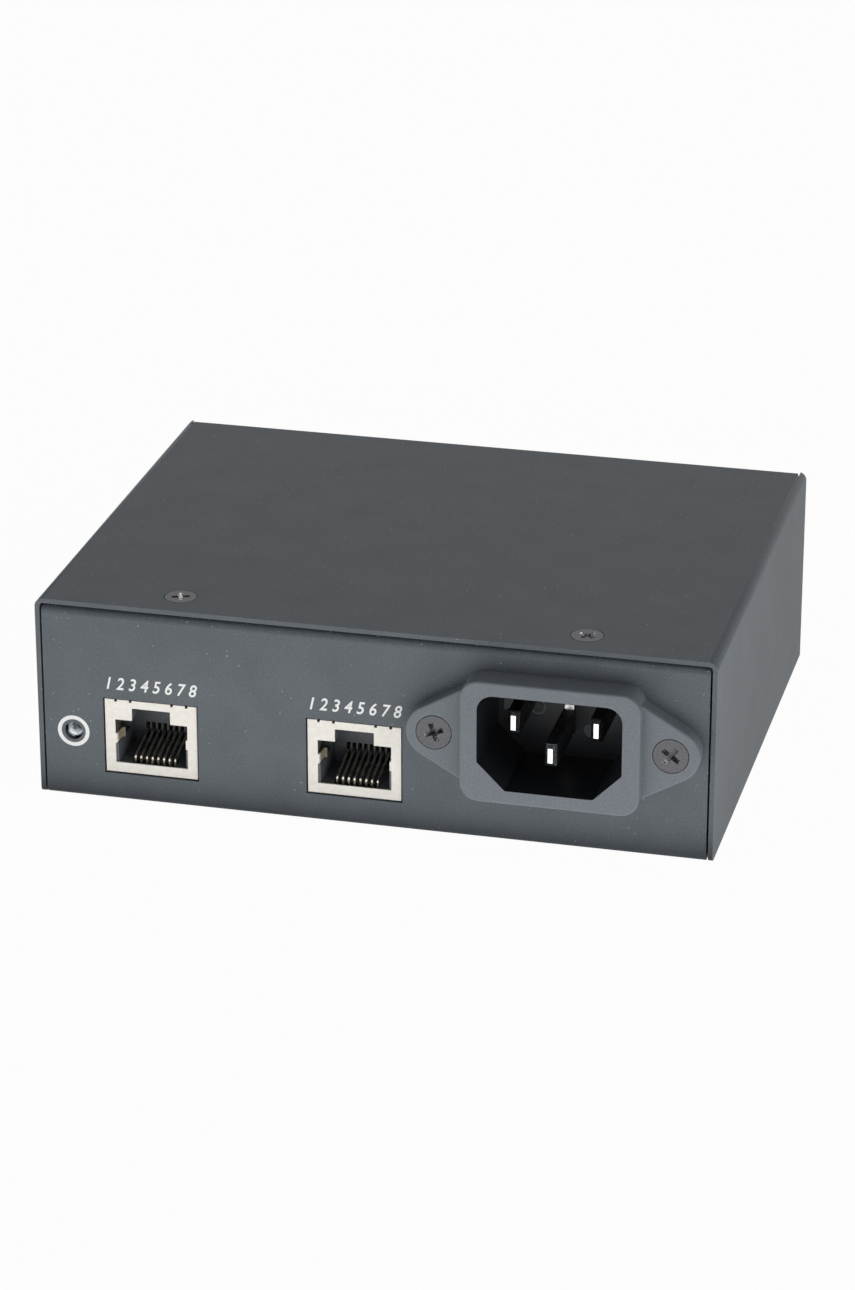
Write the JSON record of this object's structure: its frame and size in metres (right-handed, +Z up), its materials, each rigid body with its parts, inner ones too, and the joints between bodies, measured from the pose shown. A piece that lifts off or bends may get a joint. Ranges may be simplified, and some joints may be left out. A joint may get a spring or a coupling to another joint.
{
  "type": "poe injector",
  "caption": "Flat folded-steel power-over-Ethernet injector with a mains inlet, two shielded network jacks and a status light on its front.",
  "frame": {"origin": "centre of the case's underside, on the plane that it rests on", "axes": "+Z up, +X right seen from the front, the front panel with the inlet and jacks faces -Y"},
  "size_m": [0.117, 0.095, 0.036],
  "materials": {
    "black_plastic": "moulded",
    "black_screw": "dark zinc plating",
    "blue_wire": "wire insulation",
    "board_green": "solder mask",
    "brass_post": "turned",
    "bright_steel": "bright zinc plating",
    "brown_wire": "wire insulation",
    "can_sleeve": "shrink sleeve",
    "cap_yellow": "moulded box",
    "case_paint": "fine matte textured dark grey powder coat",
    "contact_gold": "gold flash over spring bronze",
    "copper": "enamelled copper",
    "disc_blue": "dipped resin",
    "earth_wire_green": "wire insulation",
    "ferrite": "sintered ferrite",
    "film": "polyester film",
    "fuse_glass": "glass",
    "inlet_plastic": "moulded, fine grain",
    "jack_plastic": "moulded",
    "led_clear": "clear cast resin",
    "pin_nickel": "bright nickel plate",
    "shield_tin": "bright tin plate",
    "sink_aluminium": "plain",
    "sleeve_clear": "receptacle cover",
    "tape_yellow": "polyester tape over the winding",
    "white_plastic": "moulded nylon"
  },
  "bodies": {
    "case": {"board_screws": "bright_steel", "board_standoffs": "brass_post", "bulk_capacitor": "can_sleeve", "chassis": "case_paint", "choke_core": "ferrite", "choke_windings": "copper", "control_chip": "black_plastic", "cover": "case_paint", "cover_screws_rear": "black_screw", "cover_screws_top": "black_screw", "data_transformer": "black_plastic", "diode_device": "black_plastic", "diode_heat_sink": "sink_aluminium", "diode_screw": "bright_steel", "earth_fixings": "bright_steel", "earth_stud": "brass_post", "earth_wire": "earth_wire_green", "fuse_caps": "pin_nickel", "fuse_clips": "bright_steel", "fuse_tube": "fuse_glass", "inlet_body": "inlet_plastic", "inlet_earth_pin": "pin_nickel", "inlet_line_pin": "pin_nickel", "inlet_neutral_pin": "pin_nickel", "inlet_nuts": "bright_steel", "inlet_screws": "black_screw", "insulating_sheet": "film", "jack_1_insert": "jack_plastic", "jack_1_shield": "shield_tin", "jack_1_tails": "contact_gold", "jack_2_insert": "jack_plastic", "jack_2_shield": "shield_tin", "jack_2_tails": "contact_gold", "led_holder": "black_plastic", "line_wire": "brown_wire", "main_board": "board_green", "mains_header": "white_plastic", "mains_plug": "white_plastic", "neutral_wire": "blue_wire", "optocoupler": "black_plastic", "output_capacitors": "can_sleeve", "output_inductor": "copper", "power_controller": "black_plastic", "rectifier": "black_plastic", "status_led": "led_clear", "switch_device": "black_plastic", "switch_heat_sink": "sink_aluminium", "switch_screw": "bright_steel", "tab_connectors": "sleeve_clear", "transformer_bobbin": "black_plastic", "transformer_core": "ferrite", "transformer_winding": "tape_yellow", "varistor": "disc_blue", "x_capacitor": "cap_yellow", "y_capacitor": "disc_blue"},
    "data_contacts": {"jack_1_contacts": "contact_gold"},
    "power_contacts": {"jack_2_contacts": "contact_gold"}
  },
  "joints": [
    {"name": "data_contacts_flex", "type": "hinge", "parent": "case", "child": "data_contacts", "pos_m": [-0.03855, -0.0427, 0.00745], "axis": [-1, 0, 0], "range_deg": [0, 8], "stiffness_Nm_per_rad": 0.4, "springref_deg": -1.15},
    {"name": "power_contacts_flex", "type": "hinge", "parent": "case", "child": "power_contacts", "pos_m": [-0.0029, -0.0427, 0.00745], "axis": [-1, 0, 0], "range_deg": [0, 8], "stiffness_Nm_per_rad": 0.4, "springref_deg": -1.15}
  ]
}
